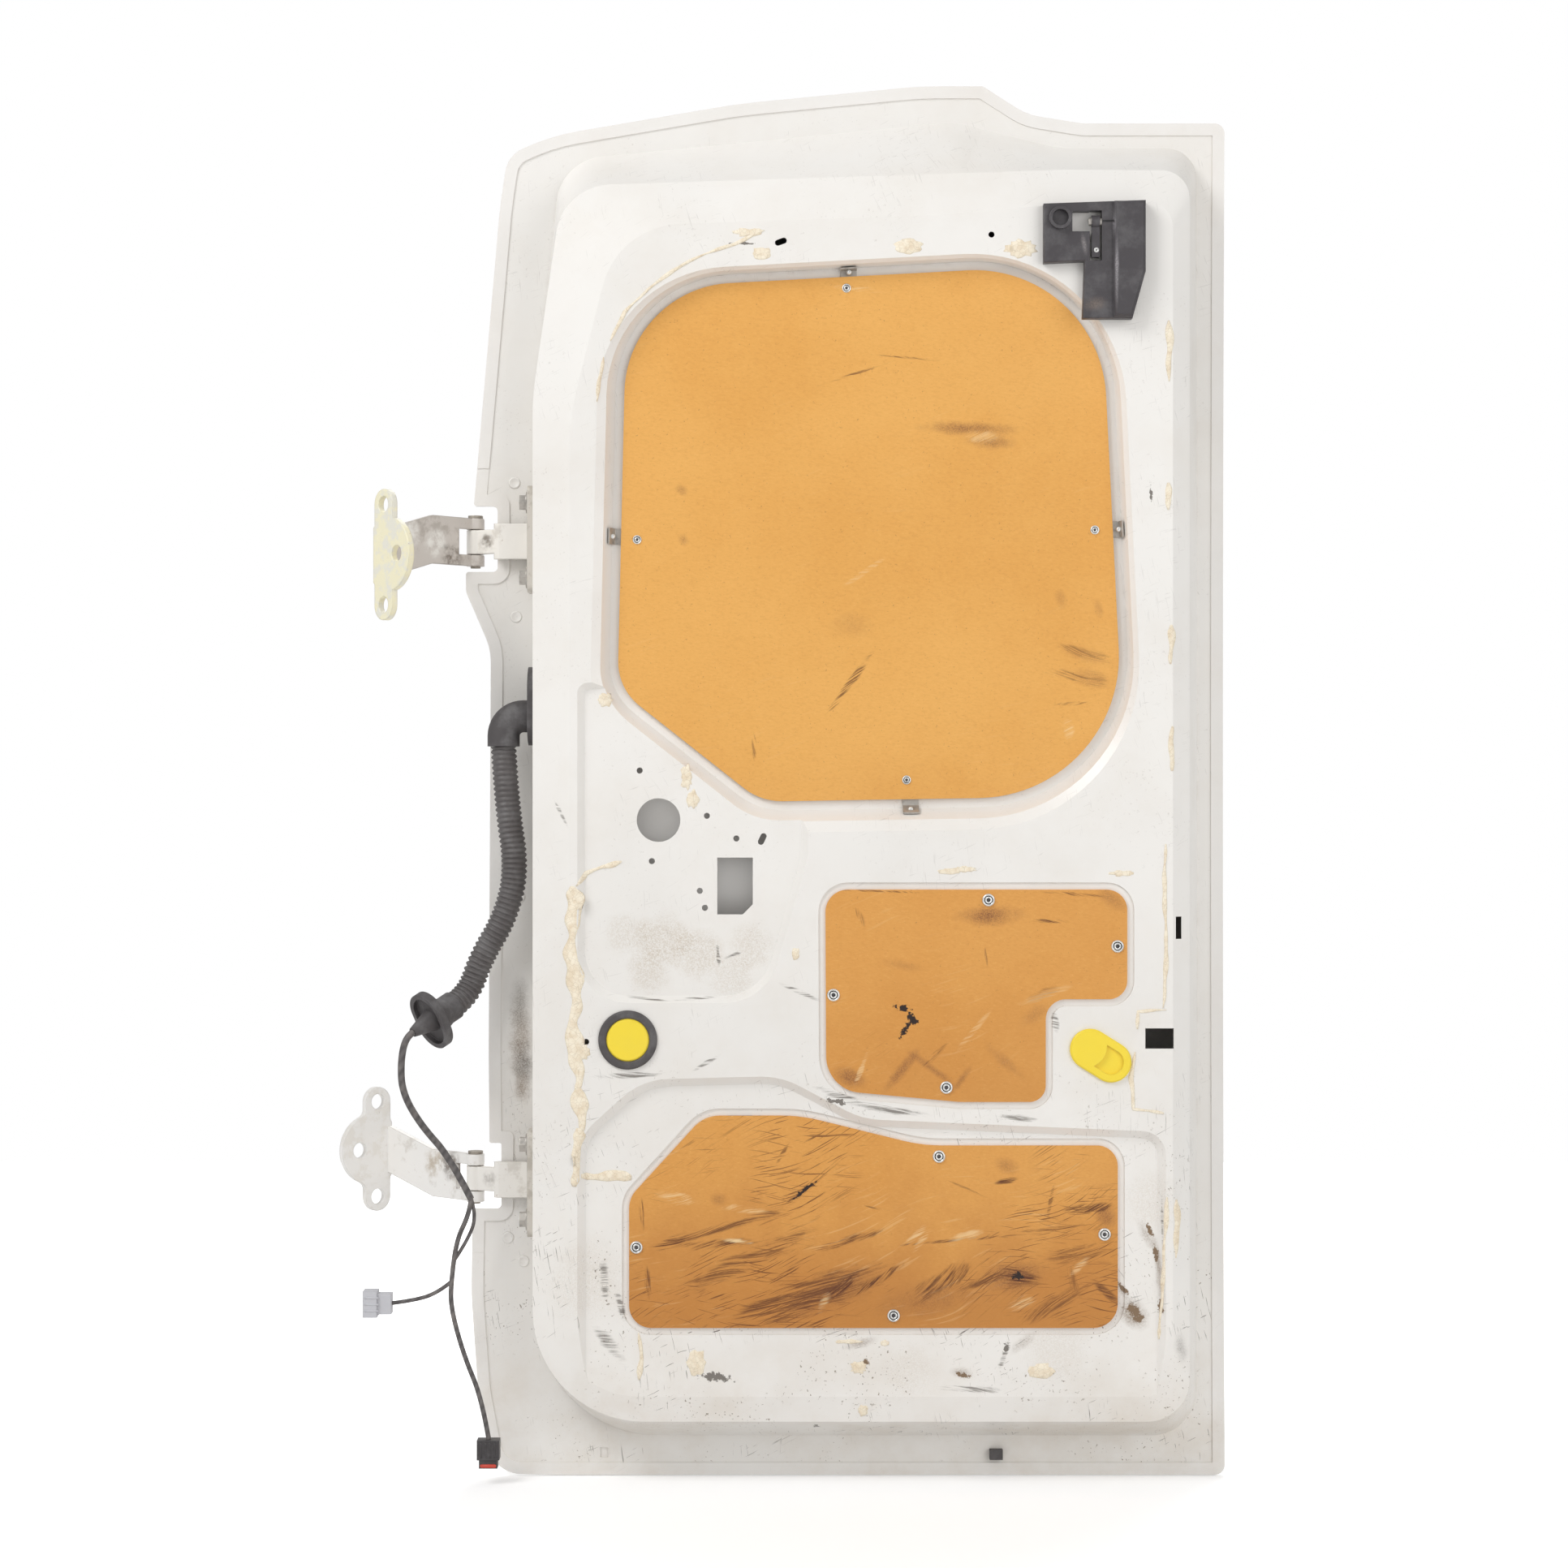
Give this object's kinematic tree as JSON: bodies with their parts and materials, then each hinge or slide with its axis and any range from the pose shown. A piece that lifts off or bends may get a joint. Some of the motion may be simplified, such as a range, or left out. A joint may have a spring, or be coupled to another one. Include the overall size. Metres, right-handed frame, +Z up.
{
  "type": "campervan rear barn door",
  "caption": "White steel rear barn door of a camper van, inner side showing, with hardboard covers, pin hinges, hanging wiring and an upper latch cover.",
  "frame": {"origin": "middle of the two ear holes on the lower hinge's mounting face", "axes": "+X from the hinge side to the meeting edge, +Y to the outside of the vehicle, +Z up"},
  "size_m": [0.899, 0.2408, 1.394],
  "materials": {
    "white_paint": "gloss, scratched",
    "hinge_paint": "gloss over a bare zinc mounting face",
    "zinc": "yellow passivated",
    "hardboard": "matt, smooth side out, scratched",
    "clip_steel": "dull",
    "black_rubber": "matt",
    "yellow_plastic": "satin",
    "black_plastic": "satin",
    "grey_plastic": "matt",
    "harness_tape": "wound tape"
  },
  "bodies": {
    "lower_leaf": {"lower_hinge_body_leaf": "hinge_paint", "lower_hinge_pin": "zinc"},
    "door": {"outer_skin": "white_paint", "inner_panel": "white_paint", "lower_hinge_door_leaf": "hinge_paint", "upper_hinge_door_leaf": "hinge_paint", "lower_hinge_bolts": "hinge_paint", "upper_hinge_bolts": "hinge_paint", "window_board": "hardboard", "middle_board": "hardboard", "lower_board": "hardboard", "window_clip_top": "clip_steel", "window_clip_left": "clip_steel", "window_clip_right": "clip_steel", "window_clip_bottom": "clip_steel", "round_plug_ring": "black_rubber", "round_plug_cap": "yellow_plastic", "oval_plug": "yellow_plastic", "latch_cover": "black_plastic", "latch_bush": "black_plastic", "latch_axle": "clip_steel", "drain_block": "black_rubber", "door_grommet": "black_rubber", "conduit": "black_rubber", "far_grommet": "black_rubber", "loom": "harness_tape", "loom_tail": "harness_tape", "loom_strand": "harness_tape", "loom_branch": "harness_tape", "grey_connector": "grey_plastic", "black_connector": "black_plastic"},
    "upper_leaf": {"upper_hinge_body_leaf": "hinge_paint", "upper_hinge_pin": "zinc"},
    "lever": {"latch_lever": "black_plastic"}
  },
  "joints": [
    {"name": "door_swing", "type": "hinge", "parent": "lower_leaf", "child": "door", "pos_m": [0.11214, -0.08296, -0.02], "axis": [0, 0, 1], "range_deg": [-92, 88]},
    {"name": "upper_leaf_swing", "type": "hinge", "parent": "door", "child": "upper_leaf", "pos_m": [0.11214, -0.08296, 0.62124], "axis": [0, 0, -1], "range_deg": [0, 180]},
    {"name": "lever_swing", "type": "hinge", "parent": "door", "child": "lever", "pos_m": [0.72913, -0.17906, 0.92887], "axis": [-1, 0, 0], "range_deg": [0, 45]}
  ]
}
